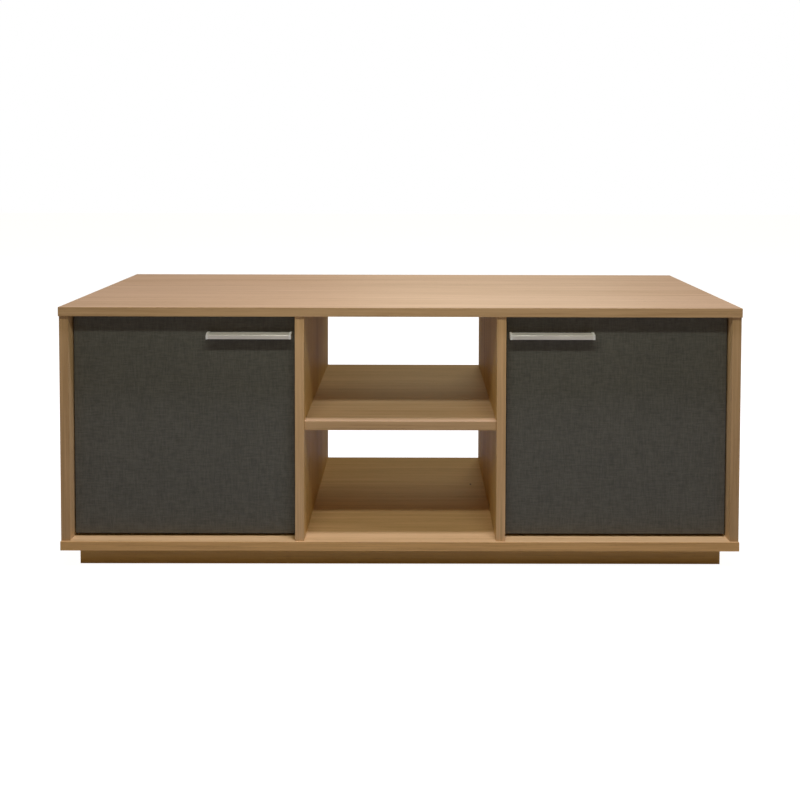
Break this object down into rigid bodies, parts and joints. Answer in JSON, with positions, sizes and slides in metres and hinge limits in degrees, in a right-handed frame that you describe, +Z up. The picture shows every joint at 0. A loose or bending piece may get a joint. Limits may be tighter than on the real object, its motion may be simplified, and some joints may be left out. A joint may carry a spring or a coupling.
{
  "type": "television cabinet",
  "caption": "Low oak-effect television cabinet on a recessed plinth, with an open centre bay, a fixed shelf, inset hinged doors at the sides and metal lip handles.",
  "frame": {"origin": "on the floor under the middle of the cabinet", "axes": "+X along the width, to the right as seen from the front; +Y from front to back; +Z up"},
  "size_m": [1.2, 0.4, 0.47],
  "materials": {
    "carcass_board": "satin oak-effect melamine",
    "board_edging": "satin oak-effect edging strip",
    "plinth_board": "satin oak-effect melamine",
    "back_board": "matt hardboard",
    "raw_wood": "raw planed wood",
    "door_board": "matt dark linen-effect foil on board",
    "door_edging": "matt dark edging strip",
    "handle_metal": "brushed anodised",
    "zinc_alloy": "bare die-cast zinc",
    "hinge_steel": "nickel-plated pressed steel",
    "pin_steel": "polished",
    "fixing_steel": "zinc-plated",
    "cover_caps": "matt"
  },
  "bodies": {
    "carcass": {"top_panel": "carcass_board", "top_edging": "board_edging", "bottom_panel": "carcass_board", "bottom_edging": "board_edging", "left_side_panel": "carcass_board", "left_side_edging": "board_edging", "right_side_panel": "carcass_board", "right_side_edging": "board_edging", "left_divider": "carcass_board", "left_divider_edging": "board_edging", "right_divider": "carcass_board", "right_divider_edging": "board_edging", "centre_shelf": "carcass_board", "shelf_edging": "board_edging", "left_back_panel": "back_board", "right_back_panel": "back_board", "plinth_front": "plinth_board", "plinth_back": "plinth_board", "plinth_left_end": "plinth_board", "plinth_right_end": "plinth_board", "plinth_cross_rail": "plinth_board", "plinth_blocks": "raw_wood", "plinth_screws": "fixing_steel", "cam_locks": "zinc_alloy", "cam_bolts": "fixing_steel", "cam_cover_caps": "cover_caps", "wood_dowels": "raw_wood", "left_hinge_arms": "hinge_steel", "left_hinge_plates": "hinge_steel", "left_hinge_plate_screws": "fixing_steel", "left_hinge_arm_screws": "fixing_steel", "right_hinge_arms": "hinge_steel", "right_hinge_plates": "hinge_steel", "right_hinge_plate_screws": "fixing_steel", "right_hinge_arm_screws": "fixing_steel"},
    "left_leaf": {"left_door": "door_board", "left_door_edging": "door_edging", "left_handle": "handle_metal", "left_handle_ends": "zinc_alloy", "left_handle_screws": "fixing_steel", "left_hinge_cups": "hinge_steel", "left_hinge_pins": "pin_steel", "left_hinge_cup_screws": "fixing_steel"},
    "right_leaf": {"right_door": "door_board", "right_door_edging": "door_edging", "right_handle": "handle_metal", "right_handle_ends": "zinc_alloy", "right_handle_screws": "fixing_steel", "right_hinge_cups": "hinge_steel", "right_hinge_pins": "pin_steel", "right_hinge_cup_screws": "fixing_steel"}
  },
  "joints": [
    {"name": "left_door_swing", "type": "hinge", "parent": "carcass", "child": "left_leaf", "pos_m": [-0.566, -0.17, 0.255], "axis": [0, 0, -1], "range_deg": [0, 95]},
    {"name": "right_door_swing", "type": "hinge", "parent": "carcass", "child": "right_leaf", "pos_m": [0.566, -0.17, 0.255], "axis": [0, 0, 1], "range_deg": [0, 95]}
  ]
}
